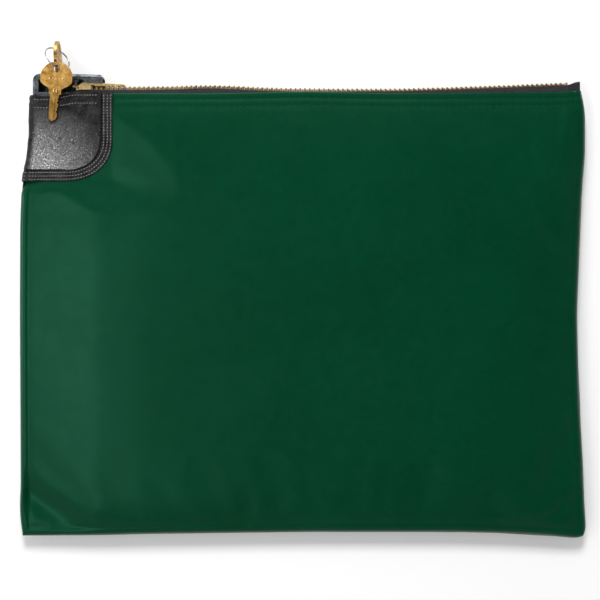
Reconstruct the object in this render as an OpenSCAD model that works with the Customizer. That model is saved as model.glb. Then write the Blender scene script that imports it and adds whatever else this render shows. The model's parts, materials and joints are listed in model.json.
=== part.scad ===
// Locking cash deposit bag: a zipped cloth pouch with a pop-up lock at one corner.
// The bag lies on its back on z = 0. X runs along the zipper, Y up the bag, Z out of its front.

/* [Bag] */
// Half of the nominal width, corner to corner
half_width = 186; // [150:1:230]
// Height of the mouth edge above the centre line
mouth_y = 145.2; // [140:0.1:150]
// Height of the middle plane, where the side seams lie
mid_z = 11; // [11:0.1:14]
// Greatest distance of a panel's face from the middle plane
fullness = 11; // [8:0.1:14]
// Thickness of the laminated cloth
cloth = 0.5; // [0.4:0.1:0.6]

/* [Leather corner] */
// Thickness of the leather
leather = 0.9; // [0.6:0.1:1.2]
// Width of the patch at its top, from the bag's left edge
patch_w = 55; // [50:0.1:60]
// Height of the patch
patch_h = 57.8; // [50:0.1:70]
// Radius of its lower inner corner
patch_r = 23; // [10:1:30]

/* [Lock case] */
// Length of the case along the zipper
case_w = 45.9; // [44:0.1:50]
// Thickness of the case through the bag
case_t = 12; // [12:0.1:13]
// Height of the hood's roof above the bag's centre line
roof_y = 157.2; // [156:0.1:158]
// Where the plug's axis crosses the zipper's line
lock_x = -161.8; // [-164:0.1:-160]
// Radius of the pop-up barrel
barrel_r = 4.2; // [4:0.1:4.4]
// Radius of the key plug
plug_r = 3.4; // [3.3:0.05:3.6]
// Travel of the barrel when it is pressed in
press = 2.4; // [2:0.1:2.6]

/* [Zipper] */
// Pitch of the teeth on one tape
pitch = 3.1; // [2.8:0.1:3.4]
// Top of the joined teeth
chain_top = 149; // [148.8:0.05:149.2]
// Thickness of the joined teeth
chain_t = 2.6; // [2.4:0.1:2.8]
// Where the joined teeth begin at the slider
chain_start = -142.6; // [-144:0.1:-142]
// Number of teeth on each tape
teeth = 101; // [60:1:104]

/* [Keys] */
// Thickness of a key
key_t = 1.9; // [1.6:0.1:2]
// Length of the blade from the shoulder to the tip
blade_l = 17.4; // [15:0.1:18]
// Width of the blade
blade_w = 6; // [5:0.1:6]
// Radius of the bow
bow_r = 10.7; // [9:0.1:10.9]
// Mean diameter of the key ring
ring_d = 17.8; // [17.5:0.1:18]
// Diameter of the ring's wire
wire_d = 0.9; // [0.8:0.1:1]

/* [Hidden] */
$fn = 48;
cut = 0.1; // how far a cutter runs past the face it opens

green = [0.0, 0.235, 0.15];
black_cloth = [0.06, 0.06, 0.06];
black_leather = [0.12, 0.12, 0.125];
brass = [0.78, 0.56, 0.22];
nickel = [0.48, 0.5, 0.52];
steel = [0.7, 0.71, 0.73];

// ---- the bag's outline ----
// The edges bow gently, so each is a short list of [place along the edge, place of the edge].
left_edge = [[-150, -half_width + 1], [-60, -half_width], [0, -half_width - 0.6],
             [85, -half_width + 0.6], [112, -182], [150, -180.8]];
right_edge = [[-150, half_width - 2], [-143, half_width - 0.7], [-40, half_width - 5],
              [0, half_width - 6.6], [40, half_width - 4.5], [114, half_width - 1.4], [150, half_width - 4.7]];
bottom_edge = [[-190, -145.4], [-100, -144], [0, -143.2], [120, -144], [178, -147.2], [190, -145]];
function left_x(y) = lookup(y, left_edge);
function right_x(y) = lookup(y, right_edge);
function bottom_y(x) = lookup(x, bottom_edge);

// ---- how far a panel's outer face stands from the middle plane ----
seam_h = 1.35;   // at the side and bottom seams
mouth_h = 4.25;  // at the zipper
corner_h = case_t / 2 + 0.55; // over the lock case, under the leather
patch_top = mouth_y - 0.7;
patch_bottom = patch_top - patch_h;
patch_right = left_x(patch_top) + patch_w;
case_left = lock_x - 15.6;
case_right = case_left + case_w;
case_bottom = roof_y - 37.2;

function clamp(v) = max(0, min(1, v));
function swell(t) = sqrt(1 - pow(1 - clamp(t), 2)); // quarter ellipse, steep at the edge
function smooth(t) = clamp(t) * clamp(t) * (3 - 2 * clamp(t));
// the cloth's own left edge draws in under the leather, which wraps round it
function cloth_left(y) = left_x(y) + (leather + 0.4) * smooth((y - patch_bottom + 9) / 8);
// the sides close over a shorter length towards the mouth
function side_run(y) = 42 - 34 * smooth((y - 90) / 50);
function mouth_rise(y) = mouth_h + (fullness - mouth_h) * swell((mouth_y - y) / 60);
function pillow(x, y) =
    seam_h + (mouth_rise(y) - seam_h)
    * swell(min(x - cloth_left(y), right_x(y) - x) / side_run(y))
    * swell((y - bottom_y(x)) / 42);
// distance outside the flat corner that the lock case and the leather need
function off_corner(x, y) = norm([max(0, x - patch_right - 0.6), max(0, patch_bottom - 0.6 - y)]);
function corner_cap(x, y) = corner_h + 0.28 * off_corner(x, y);
// how far a point lies inside the stretch that the case holds open, 0 to 1
function held_open(x, y) = smooth((y - 92) / 24) * (1 - smooth((x - case_right - 0.8) / 12));
function outer_h(x, y) = min(max(pillow(x, y), corner_h * held_open(x, y)), corner_cap(x, y));

// Grid lines of the panels: closer where the face turns
inner_x = [-177, -172, -164, -155, -146, -138, -130.6, -126, -122, -117, -105, -85, -40, 20, 80,
           120, 140, 152, 162, 169, 175];
inner_y = [-141, -136, -129, -118, -104, -80, -30, 20, 55, 75, 86, 94, 102, 110, 118, 126, 134,
           140, 143.5];
cols = len(inner_x) + 2;
rows = len(inner_y) + 2;
function grid_y(j, x) = j == 0 ? bottom_y(x) : j == rows - 1 ? mouth_y : inner_y[j - 1];
function grid_x(i, y) = i == 0 ? cloth_left(y) : i == cols - 1 ? right_x(y) : inner_x[i - 1];
function grid_point(i, j) = let(
        x0 = i == 0 ? -half_width : i == cols - 1 ? half_width : inner_x[i - 1],
        y = grid_y(j, x0)) [grid_x(i, y), y];

// One panel: side = 1 is the front, side = -1 the back
module panel(side) {
    layer = rows * cols;
    points = [for (depth = [0, cloth]) for (j = [0:rows - 1]) for (i = [0:cols - 1])
        let(p = grid_point(i, j)) [p[0], p[1], mid_z + side * (outer_h(p[0], p[1]) - depth)]];
    function at(i, j) = j * cols + i;
    outside = [for (j = [0:rows - 2]) for (i = [0:cols - 2]) each [
        [at(i, j), at(i + 1, j + 1), at(i + 1, j)], [at(i, j), at(i, j + 1), at(i + 1, j + 1)]]];
    inside = [for (f = outside) [layer + f[0], layer + f[2], layer + f[1]]];
    rim = concat([for (i = [0:cols - 1]) at(i, 0)], [for (j = [1:rows - 1]) at(cols - 1, j)],
                 [for (i = [cols - 2:-1:0]) at(i, rows - 1)], [for (j = [rows - 2:-1:1]) at(0, j)]);
    count = len(rim);
    edge = [for (k = [0:count - 1]) let(a = rim[k], b = rim[(k + 1) % count]) each [
        [a, b, layer + b], [a, layer + b, layer + a]]];
    faces = concat(outside, inside, edge);
    polyhedron(points, side > 0 ? faces : [for (f = faces) [f[0], f[2], f[1]]], convexity = 8);
}

module front_panel() {
    color(green) panel(1);
}

module back_panel() {
    color(green) panel(-1);
}

// ---- bound seam allowances between the two panels ----
seam_w = 7;
seam_t = 1.2;

module side_seam(edge, inward, low, high) {
    ys = concat([low], [for (p = edge) if (p[0] > low + 1 && p[0] < high - 1) p[0]], [high]);
    near = [for (y = ys) [lookup(y, edge) + inward * 0.6, y]];
    far = [for (k = [len(ys) - 1:-1:0]) [lookup(ys[k], edge) + inward * seam_w, ys[k]]];
    translate([0, 0, mid_z - seam_t / 2]) linear_extrude(seam_t) polygon(concat(near, far));
}

module left_seam_tape() {
    color(black_cloth) side_seam(left_edge, 1, -137, patch_bottom - 6);
}

module right_seam_tape() {
    color(black_cloth) side_seam(right_edge, -1, -137, 127);
}

module bottom_seam_tape() {
    xs = [-half_width + 10, -100, 0, 120, half_width - 10];
    near = [for (x = xs) [x, bottom_y(x) + 0.6]];
    far = [for (k = [len(xs) - 1:-1:0]) [xs[k], bottom_y(xs[k]) + seam_w]];
    color(black_cloth) translate([0, 0, mid_z - seam_t / 2]) linear_extrude(seam_t)
        polygon(concat(near, far));
}

// ---- leather patch, wrapped round the left edge ----
wrap_h = corner_h + 0.05; // from the middle plane to the leather's inner face

// The patch laid flat
module patch_outline() {
    side = [for (y = [patch_bottom, 112, patch_top]) [left_x(y), y]];
    difference() {
        polygon(concat(side, [[patch_right, patch_top], [patch_right, patch_bottom]]));
        translate([patch_right - patch_r, patch_bottom]) difference() {
            square(patch_r + cut);
            translate([0, patch_r]) circle(patch_r);
            translate([-cut, patch_r]) square(patch_r * 2);
        }
    }
}

module leather_corner() {
    color(black_leather) difference() {
        translate([0, 0, mid_z - wrap_h - leather]) linear_extrude(2 * (wrap_h + leather))
            patch_outline();
        // room for the cloth and the lock case
        translate([0, 0, mid_z - wrap_h]) linear_extrude(2 * wrap_h)
            polygon(concat([for (y = [patch_bottom - 1, 112, patch_top + 1]) [left_x(y) + leather, y]],
                           [[patch_right + 1, patch_top + 1], [patch_right + 1, patch_bottom - 1]]));
    }
}

// ---- zipper ----
chain_mid = chain_top - chain_t / 2;
leg_in = 3.2;     // tape's face nearest the middle plane
leg_out = 3.6;
lip_in = 1.9;     // how close the tape's beaded edge comes to the middle plane
lip_y = chain_mid - 0.25;
lip_t = 0.5;
tape_start = -149.5;
tape_end = 172.6;
hood_exit = case_right + 0.5; // where the tape is free of the lock case

// The front half as drawn, or the back half as its mirror image
module on_side(side) {
    if (side > 0) children();
    else translate([0, 0, 2 * mid_z]) mirror([0, 0, 1]) children();
}

// Half of the tape in section, [distance from the middle plane, height]
module tape_section(foot) {
    polygon([[leg_in, foot], [leg_out, foot], [leg_out, lip_y + lip_t], [lip_in, lip_y + lip_t],
             [lip_in, lip_y], [leg_in, lip_y]]);
}

// Extrude a section drawn as [z, y] along X, from one X to another
module along_x(from, to) {
    translate([to, 0, mid_z]) rotate([0, -90, 0]) linear_extrude(to - from) children();
}

module tape(side) {
    on_side(side) {
        along_x(tape_start, hood_exit) tape_section(mouth_y);
        along_x(hood_exit, tape_end) tape_section(mouth_y - 17);
    }
}

module zipper_tape_front() {
    color(black_cloth) tape(1);
}

module zipper_tape_back() {
    color(black_cloth) tape(-1);
}

tooth_w = 1.35;

// One tooth in section: jaws that clamp the beaded edge, and a head past the middle plane
module tooth_section() {
    difference() {
        translate([-0.8, chain_top - chain_t]) square([4, chain_t]);
        translate([lip_in - 0.02, lip_y - 0.02]) square([3, lip_t + 0.04]);
    }
}

module tooth_row(side, offset) {
    on_side(side) for (k = [0:teeth - 1]) let(x = chain_start + offset + k * pitch)
        along_x(x, x + tooth_w) tooth_section();
}

module zipper_teeth_front() {
    color(brass) tooth_row(1, 0);
}

module zipper_teeth_back() {
    color(brass) tooth_row(-1, pitch / 2);
}

module zipper_top_stops() {
    color(brass) for (side = [-1, 1])
        translate([tape_start + 0.2, chain_top - chain_t, mid_z + side * 2.45 - 0.75])
            difference() {
                cube([1.9, 2.1, 1.5]);
                translate([-cut, chain_t / 2 - 0.27, side > 0 ? 0.18 : -cut])
                    cube([2.2, lip_t + 0.04, 1.32 + cut]);
            }
}

module zipper_end_stop() {
    color(brass) translate([chain_start + teeth * pitch + 0.4, 0, 0]) difference() {
        translate([0, chain_top - chain_t - 0.1, mid_z - 3.1]) cube([1.7, chain_t + 0.2, 6.2]);
        for (side = [-1, 1])
            translate([-cut, lip_y - 0.02, mid_z + (side > 0 ? lip_in - 0.02 : -lip_in - 2 + 0.02)])
                cube([2, lip_t + 0.04, 2]);
    }
}

// ---- lock case ----
wall = 0.8;
roof_slope = 1.6;
case_low_z = mid_z - case_t / 2;
case_high_z = mid_z + case_t / 2;
ceiling_y = roof_y - 2.9;
bore_floor = mouth_y - 0.3;      // top of the block that guides the barrel
chamber_top = bore_floor - 6;    // top of the chamber for the cam
window_left = case_left + 4;
cover_t = 1.2;
cover_x = [case_left + 1.2, case_right - 1.2];
cover_y = [case_bottom + 1.2, mouth_y - 1.6];
screw_x = [case_left + 4.2, case_right - 4.4];
screw_y = [case_bottom + 4.4, mouth_y - 4.6];
latch_y = bore_floor - 4.5;      // lower face of the latch bar
latch_t = 1.6;
latch_gap = 0.25;

module case_outline() {
    big = 5.3;
    small = 3.4;
    foot = 2;
    translate([case_left + foot, case_bottom]) square([case_w - 2 * foot, roof_y - case_bottom - big]);
    translate([case_left, case_bottom + foot]) square([case_w, roof_y - case_bottom - big - foot]);
    translate([case_left + big, roof_y - big - cut]) square([case_w - big - small, big + cut]);
    translate([case_right - small - cut, roof_y - big - cut]) square([small + cut, big - small + cut]);
    translate([case_left + big, roof_y - big]) circle(big);
    translate([case_right - small, roof_y - small]) circle(small);
    for (x = [case_left + foot, case_right - foot]) translate([x, case_bottom + foot]) circle(foot);
}

// A cylinder along Y about the lock's axis
module lock_turn(radius, from, to, x = lock_x, z = mid_z) {
    translate([x, from, z]) rotate([-90, 0, 0]) cylinder(r = radius, h = to - from);
}

module box(low, high) {
    translate(low) cube(high - low);
}

// Rounded section of the case's post (seen along Y) or of its roof (seen along X)
module case_section(from, to, edge_r) {
    translate([from + edge_r, case_low_z + edge_r]) circle(edge_r);
    translate([from + edge_r, case_high_z - edge_r]) circle(edge_r);
    translate([from, case_low_z + edge_r]) square([edge_r + cut, case_t - 2 * edge_r]);
    translate([from + edge_r, case_low_z]) square([to - from - edge_r, case_t]);
}

module case_body() {
    intersection() {
        translate([0, 0, case_low_z]) linear_extrude(case_t) case_outline();
        // the post's outer edges are round
        translate([0, roof_y + 1, 0]) rotate([90, 0, 0])
            linear_extrude(roof_y - case_bottom + 2) case_section(case_left, case_right + 1, 1.8);
        // so are the roof's, which slopes a little towards the slider's exit
        translate([lock_x + barrel_r, roof_y, 0]) rotate([0, 0, -roof_slope]) rotate([0, 0, 180])
            rotate([90, 0, 90]) translate([0, 0, -case_w]) linear_extrude(2 * case_w)
                case_section(0, case_w, 2.2);
    }
}

module lock_case() {
    color(nickel) difference() {
        case_body();
        // recess under the hood, open at the front and on the right for the slider
        box([window_left, bore_floor, case_low_z + wall],
            [case_right + cut, ceiling_y - 1.1, case_high_z + cut]);
        box([window_left, ceiling_y - 1.2, case_low_z + wall],
            [case_right + cut, ceiling_y, case_high_z - 0.9]);
        // chamber for the cam and the latch
        box([lock_x - 7.6, case_bottom + 2.4, case_low_z + wall],
            [case_right - 8, chamber_top, case_high_z - cover_t + cut]);
        // seat of the cover plate
        box([cover_x[0] - 0.1, cover_y[0] - 0.1, case_high_z - cover_t],
            [cover_x[1] + 0.1, cover_y[1] + 0.1, case_high_z + cut]);
        // guide bore and roof bore of the barrel
        lock_turn(barrel_r + 0.05, chamber_top - cut, bore_floor + cut);
        lock_turn(barrel_r + 0.15, ceiling_y - cut, roof_y + cut);
        // slot for the latch and its spring
        box([lock_x, latch_y - 0.15, mid_z - 1.7],
            [case_right - 9.6, latch_y + latch_t + 0.15, mid_z + 1.7]);
        box([lock_x, chamber_top - cut, mid_z - 1.7], [lock_x + 8.9, latch_y, mid_z + 1.7]);
        // screw holes
        for (x = screw_x) for (y = screw_y)
            translate([x, y, case_low_z + 3]) cylinder(r = 0.9, h = case_t);
    }
    // front lip that hides the slider
    color(nickel) difference() {
        box([case_right - 13, ceiling_y - 3.1, case_high_z - 1.1],
            [case_right, ceiling_y - 0.9, case_high_z]);
        translate([case_right - 13, ceiling_y - 3.1, case_high_z - 2])
            rotate(45) cube([2.2, 2.2, 6], center = true);
    }
}

module lock_cover() {
    color(nickel) difference() {
        box([cover_x[0], cover_y[0], case_high_z - cover_t], [cover_x[1], cover_y[1], case_high_z - 0.1]);
        for (x = screw_x) for (y = screw_y) {
            translate([x, y, case_high_z - cover_t - cut]) cylinder(r = 1.1, h = 2);
            translate([x, y, case_high_z - 0.8]) cylinder(r = 1.95, h = 1);
        }
    }
}

module cover_screws() {
    color(steel) for (x = screw_x) for (y = screw_y) translate([x, y, 0]) difference() {
        union() {
            translate([0, 0, case_low_z + 4]) cylinder(r = 0.88, h = case_t - 4.5);
            translate([0, 0, case_high_z - 0.8]) cylinder(r = 1.85, h = 0.7);
        }
        translate([-2, -0.2, case_high_z - 0.45]) cube([4, 0.4, 1]);
    }
}

// ---- pop-up barrel and the bolt on it ----
barrel_top = roof_y + 0.7;
barrel_bottom = bore_floor - 6.5;
plug_face = barrel_top + 0.3;    // the key's shoulder rests here, clear of the barrel's rim
plug_end = barrel_bottom;
arm_y = chain_top + 1 + press + 0.3;
arm_t = 1.3;
pin_x = lock_x + 11.8;
pin_r = 1;

module lock_barrel() {
    color(steel) difference() {
        lock_turn(barrel_r, barrel_bottom, barrel_top);
        lock_turn(plug_r + 0.04, barrel_bottom - cut, barrel_top + cut);
        // notch that the latch enters when the barrel is pressed in
        box([lock_x + plug_r + 0.15, latch_y + press - 0.2, mid_z - 1.8],
            [lock_x + barrel_r + 1, latch_y + press + latch_t + 0.2, mid_z + 1.8]);
    }
}

module bolt_arm() {
    color(steel) difference() {
        union() {
            lock_turn(barrel_r + 0.65, arm_y, arm_y + arm_t);
            box([lock_x + 2, arm_y, mid_z - 2.2], [pin_x, arm_y + arm_t, mid_z + 2.2]);
            lock_turn(2.2, arm_y, arm_y + arm_t, x = pin_x);
        }
        lock_turn(barrel_r, arm_y - cut, arm_y + arm_t + cut);
        lock_turn(pin_r, arm_y - cut, arm_y + arm_t + cut, x = pin_x);
    }
}

module bolt_pin() {
    color(steel) lock_turn(pin_r, chain_top + 1.3, arm_y + arm_t, x = pin_x);
}

// A closed wire along a helix about Y: the end turns lie flat
module coil(radius, wire, from, to, turns, sides = 6, steps = 14) {
    count = round(turns * steps);
    function rise(t) = smooth(clamp((t * turns - 0.6) / (turns - 1.2)));
    rings = [for (k = [0:count]) let(t = k / count, a = 360 * turns * t,
            y = from + wire / 2 + (to - from - wire) * rise(t))
        [for (s = [0:sides - 1]) let(b = 360 * s / sides, r = radius + wire / 2 * cos(b))
            [r * cos(a), y + wire / 2 * sin(b), r * sin(a)]]];
    points = [for (ring = rings) each ring];
    skin = [for (k = [0:count - 1]) for (s = [0:sides - 1]) let(n = (s + 1) % sides) each [
        [k * sides + s, k * sides + n, (k + 1) * sides + n],
        [k * sides + s, (k + 1) * sides + n, (k + 1) * sides + s]]];
    caps = [[for (s = [sides - 1:-1:0]) s], [for (s = [0:sides - 1]) count * sides + s]];
    polyhedron(points, [for (f = concat(skin, caps)) [for (k = [len(f) - 1:-1:0]) f[k]]], convexity = 10);
}

module popup_spring() {
    color(steel) translate([lock_x, 0, mid_z])
        coil(barrel_r + 0.55, 0.6, bore_floor + 0.05, arm_y - 0.05, 5);
}

// ---- plug, wafers and cam ----
keyway_l = blade_l + 0.8;
wafer_pitch = 2;
wafer_count = 7;
wafer_t = 0.8;
wafer_first = plug_face - 3.4;
cam_top = plug_end - 0.3;
cam_t = 1.7;
stub_r = 1.5;

function wafer_y(k) = wafer_first - k * wafer_pitch;

module lock_plug() {
    color(brass) difference() {
        union() {
            lock_turn(plug_r, plug_end, plug_face);
            lock_turn(stub_r, plug_end - 3.4, plug_end + cut);
        }
        box([lock_x - key_t / 2 - 0.1, plug_face - keyway_l, mid_z - blade_w / 2 - 0.1],
            [lock_x + key_t / 2 + 0.1, plug_face + cut, mid_z + blade_w / 2 + 0.1]);
        for (k = [0:wafer_count - 1])
            box([lock_x - 2.5, wafer_y(k) - 0.05, mid_z - plug_r - 1],
                [lock_x + 2.5, wafer_y(k) + wafer_t + 0.05, mid_z + plug_r + 1]);
    }
}

module wafers() {
    color(brass) for (k = [0:wafer_count - 1]) difference() {
        intersection() {
            lock_turn(plug_r - 0.1, wafer_y(k), wafer_y(k) + wafer_t);
            box([lock_x - 2.4, wafer_y(k), mid_z - plug_r], [lock_x + 2.4, wafer_y(k) + wafer_t, mid_z + plug_r]);
        }
        // window for the blade
        box([lock_x - key_t / 2 - 0.12, wafer_y(k) - cut, mid_z - blade_w / 2 - 0.07],
            [lock_x + key_t / 2 + 0.12, wafer_y(k) + wafer_t + cut, mid_z + blade_w / 2 + 0.07]);
        // corner for the spring
        box([lock_x + 1.45, wafer_y(k) - cut, mid_z - 0.6], [lock_x + 3, wafer_y(k) + wafer_t + cut, mid_z + 4]);
    }
}

module wafer_springs() {
    color(steel) for (k = [0:wafer_count - 1]) for (turn = [0:3])
        translate([lock_x + 1.95, wafer_y(k) + wafer_t / 2, mid_z - 0.5 + turn * 0.45])
            rotate_extrude($fn = 16) translate([0.24, 0.12]) circle(r = 0.1, $fn = 8);
}

latch_throw = 1.5;
cam_base = 4.1;

// A disc whose edge rises by latch_throw over 45 degrees, and falls away behind
module plug_cam() {
    function edge_r(a) = cam_base + latch_throw * (a <= 45 ? a / 45 : clamp((75 - a) / 30));
    color(brass) difference() {
        translate([lock_x, cam_top, mid_z]) rotate([90, 0, 0]) linear_extrude(cam_t)
            polygon([for (a = [0:7.5:359]) edge_r(a) * [cos(a), sin(a)]]);
        lock_turn(stub_r + 0.02, cam_top - cam_t - cut, cam_top + cut);
    }
}

module plug_clip() {
    color(steel) difference() {
        lock_turn(2.6, cam_top - cam_t - 0.8, cam_top - cam_t - 0.1);
        lock_turn(stub_r + 0.02, cam_top - cam_t - 1, cam_top - cam_t);
        box([lock_x - 0.9, cam_top - cam_t - 1, mid_z - 4], [lock_x + 0.9, cam_top - cam_t, mid_z]);
    }
}

latch_tip = lock_x + barrel_r + 0.3;
latch_tail = latch_tip + 10.4;

module barrel_latch() {
    color(steel) {
        box([latch_tip, latch_y, mid_z - 1.5], [latch_tail, latch_y + latch_t, mid_z + 1.5]);
        box([latch_tip + 0.2, cam_top - cam_t - press - 0.5, mid_z - 1.5],
            [latch_tip + 2, latch_y + cut, mid_z + 1.5]);
    }
}

module latch_spring() {
    end = case_right - 9.6;
    color(steel) translate([0, latch_y + latch_t / 2, mid_z]) rotate([0, 0, -90])
        coil(0.55, 0.25, latch_tail + 0.05, end - 0.05, 6, sides = 6, steps = 10);
}

// ---- keys and ring ----
hole_at = 16.7;   // from the shoulder to the middle of the hole
hole_r = 2.5;
bow_at = 10.4;    // from the shoulder to the middle of the bow
neck_w = 8;
bitting = [0.5, 1.1, 0.3, 0.9, 1.2, 0.6, 0.9];

// A key flat in XY: shoulder on y = 0, tip towards -y, middle of its thickness on z = 0
module key_outline() {
    difference() {
        union() {
            intersection() {
                translate([0, bow_at]) circle(bow_r, $fn = 96);
                translate([-bow_r, 7.4]) square(2 * bow_r);
            }
            polygon([[-10.25, 7.45], [-8.6, 5.9], [-6.2, 4.6], [-4.7, 3.9], [-neck_w / 2, 2.9], [-neck_w / 2, 0],
                     [neck_w / 2, 0], [neck_w / 2, 2.9], [4.7, 3.9], [6.2, 4.6], [8.6, 5.9], [10.25, 7.45]]);
            // blade with its bitting on one edge and an angled tip
            polygon(concat(
                [[-blade_w / 2, cut], [-blade_w / 2, -blade_l + 1.6], [-blade_w / 2 + 1.8, -blade_l],
                 [-blade_w / 2 + 2.6, -blade_l], [blade_w / 2 - 1.2, -blade_l + 1.5]],
                [for (k = [wafer_count - 1:-1:0]) let(y = -3 - k * wafer_pitch) each
                    [[blade_w / 2 - bitting[k], y - 0.45], [blade_w / 2 - bitting[k], y + 0.45],
                     [blade_w / 2 - min(bitting[k], bitting[max(k - 1, 0)]) * 0.4, y + 1]]],
                [[blade_w / 2, -1.2], [blade_w / 2, cut]]));
        }
        translate([0, hole_at]) circle(hole_r);
    }
}

module key() {
    difference() {
        translate([0, 0, -key_t / 2]) linear_extrude(key_t) key_outline();
        // milled groove along each side of the blade
        for (side = [-1, 1]) translate([side > 0 ? 0.9 : -0.9, -blade_l / 2 - 0.2, side * key_t / 2])
            cube([0.9, blade_l - 3, 0.9], center = true);
    }
}

module lock_key() {
    color(brass) translate([lock_x, plug_face, mid_z]) rotate([0, -90, 0]) key();
}

ring_centre = [-161, 166.77, 16.99]; // it threads both keys' holes
ring_normal = [-0.612, -0.543, -0.575];
spare_hole = [-160.12, 159.35, 22.03];
spare_heading = -5.4;
spare_tilt = 3.4;
spare_roll = -5.8;

module key_ring() {
    turn = atan2(ring_normal[1], ring_normal[0]);
    lean = acos(ring_normal[2] / norm(ring_normal));
    color(steel) translate(ring_centre) rotate([0, lean, turn])
        rotate_extrude() translate([ring_d / 2, 0]) circle(wire_d / 2, $fn = 24);
}

module spare_key() {
    color(brass) translate(spare_hole) rotate([0, 0, spare_heading]) rotate([spare_tilt, 0, 0])
        rotate([0, spare_roll, 0]) translate([0, -hole_at, 0]) key();
}

// ---- slider ----
body_left = -147.2;
body_right = -138.6;
top_plate = [chain_top + 0.2, chain_top + 1];
low_plate = [chain_top - chain_t - 1, chain_top - chain_t - 0.2];
flange_in = leg_out + 0.3;
flange_out = flange_in + 0.6;

module slider_body() {
    color(brass) {
        difference() {
            union() {
                // top plate with a flange down each side
                box([body_left, top_plate[0], mid_z - flange_out], [body_right, top_plate[1], mid_z + flange_out]);
                for (side = [-1, 1])
                    translate([body_left, low_plate[1] + 0.6, mid_z + side * (flange_in + flange_out) / 2 - 0.3])
                        cube([body_right - body_left, top_plate[0] - low_plate[1] - 0.5, 0.6]);
                // lug that the bolt pin locks
                box([pin_x, top_plate[0] - 0.4, mid_z - 2.2], [body_left + 1, top_plate[1], mid_z + 2.2]);
                lock_turn(2.2, top_plate[0] - 0.4, top_plate[1], x = pin_x);
            }
            lock_turn(pin_r + 0.3, top_plate[0] - 1, top_plate[1] + 1, x = pin_x);
            // rounded corners at the joined end
            for (side = [-1, 1]) translate([body_right, chain_top, mid_z + side * flange_out])
                rotate([0, 45, 0]) cube([1.2, 12, 1.2], center = true);
        }
        // lower plate, and the wedge that parts the teeth
        box([body_left, low_plate[0], mid_z - leg_in + 0.3], [body_right, low_plate[1], mid_z + leg_in - 0.3]);
        translate([body_left + 0.3, low_plate[1] - cut, mid_z]) rotate([-90, 0, 0])
            linear_extrude(top_plate[0] - low_plate[1] + 2 * cut)
                polygon([[0, -1.4], [1.2, -1.4], [3.9, 0], [1.2, 1.4], [0, 1.4]]);
    }
}

crown_h = 1.9;
crown_left = body_left + 0.6;
crown_right = body_right - 1;

module slider_crown() {
    color(brass) difference() {
        box([crown_left, top_plate[1], mid_z - 0.9], [crown_right, top_plate[1] + crown_h, mid_z + 0.9]);
        box([crown_left + 0.9, top_plate[1] - cut, mid_z - 2], [crown_right - 0.9, top_plate[1] + 1.3, mid_z + 2]);
        for (x = [crown_left, crown_right]) translate([x, top_plate[1] + crown_h, mid_z])
            rotate(45) cube([0.8, 0.8, 4], center = true);
    }
}

pull_pivot = [crown_left + 1.9, top_plate[1] + 0.62];
pull_l = 28;
pull_w = 5.4;

// Side view of the pull: it steps down off the slider and tapers towards its free end
module pull_section() {
    x0 = pull_pivot[0] - 0.7;
    low = pull_pivot[1] - 0.44;
    polygon([[x0, low], [body_right + 0.4, low], [body_right + 2, chain_top + 0.3],
             [x0 + pull_l - 0.4, chain_top + 0.3], [x0 + pull_l, chain_top + 0.6],
             [x0 + pull_l, chain_top + 1.1], [x0 + pull_l - 0.5, chain_top + 1.4],
             [body_right + 1, low + 1.45], [x0 + 0.3, low + 1.5], [x0, low + 1.2]]);
}

module pull_tab() {
    x0 = pull_pivot[0] - 0.7;
    color(brass) difference() {
        translate([0, 0, mid_z - pull_w / 2]) linear_extrude(pull_w) pull_section();
        // eye that the crown passes through, and the thin bar under the crown
        box([x0 + 1.4, 0, mid_z - 1.4], [crown_right + 0.8, roof_y, mid_z + 1.4]);
        box([x0 - 1, pull_pivot[1] + 0.44, mid_z - 1.4], [x0 + 2, roof_y, mid_z + 1.4]);
        // the sides draw in towards the free end
        for (side = [-1, 1]) translate([x0 + pull_l, chain_top, mid_z + side * (pull_w / 2 + 2.1)])
            rotate([0, side * 6, 0]) cube([2 * pull_l - 14, 20, 5], center = true);
    }
}

front_panel();
back_panel();
left_seam_tape();
right_seam_tape();
bottom_seam_tape();
leather_corner();
zipper_tape_front();
zipper_tape_back();
zipper_teeth_front();
zipper_teeth_back();
zipper_top_stops();
zipper_end_stop();
lock_case();
lock_cover();
cover_screws();
lock_barrel();
bolt_arm();
bolt_pin();
popup_spring();
lock_plug();
wafers();
wafer_springs();
plug_cam();
plug_clip();
barrel_latch();
latch_spring();
lock_key();
key_ring();
spare_key();
slider_body();
slider_crown();
pull_tab();
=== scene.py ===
"""Locking cash deposit bag: cloth, leather, stitching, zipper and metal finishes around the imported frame."""

import json
import math

import bmesh
import bpy
import numpy as np
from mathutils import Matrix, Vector
from mathutils.bvhtree import BVHTree


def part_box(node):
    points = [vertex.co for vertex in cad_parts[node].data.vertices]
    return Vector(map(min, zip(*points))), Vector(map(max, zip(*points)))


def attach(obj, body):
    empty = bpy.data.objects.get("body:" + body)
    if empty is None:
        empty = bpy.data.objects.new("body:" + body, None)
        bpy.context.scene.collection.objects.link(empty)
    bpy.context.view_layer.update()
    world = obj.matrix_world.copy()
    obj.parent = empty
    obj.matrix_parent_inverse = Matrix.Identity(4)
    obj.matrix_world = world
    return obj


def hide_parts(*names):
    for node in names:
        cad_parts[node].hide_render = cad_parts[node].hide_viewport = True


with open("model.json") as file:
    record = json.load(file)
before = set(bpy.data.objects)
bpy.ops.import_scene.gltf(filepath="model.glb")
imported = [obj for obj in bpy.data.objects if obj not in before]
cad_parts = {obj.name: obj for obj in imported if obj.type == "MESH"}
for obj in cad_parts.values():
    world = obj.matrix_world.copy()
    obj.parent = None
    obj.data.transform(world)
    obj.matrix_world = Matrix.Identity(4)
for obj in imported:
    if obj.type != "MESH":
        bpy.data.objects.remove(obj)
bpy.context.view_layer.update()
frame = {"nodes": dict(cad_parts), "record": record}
NODES = frame["nodes"]
MM = 0.001


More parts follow.
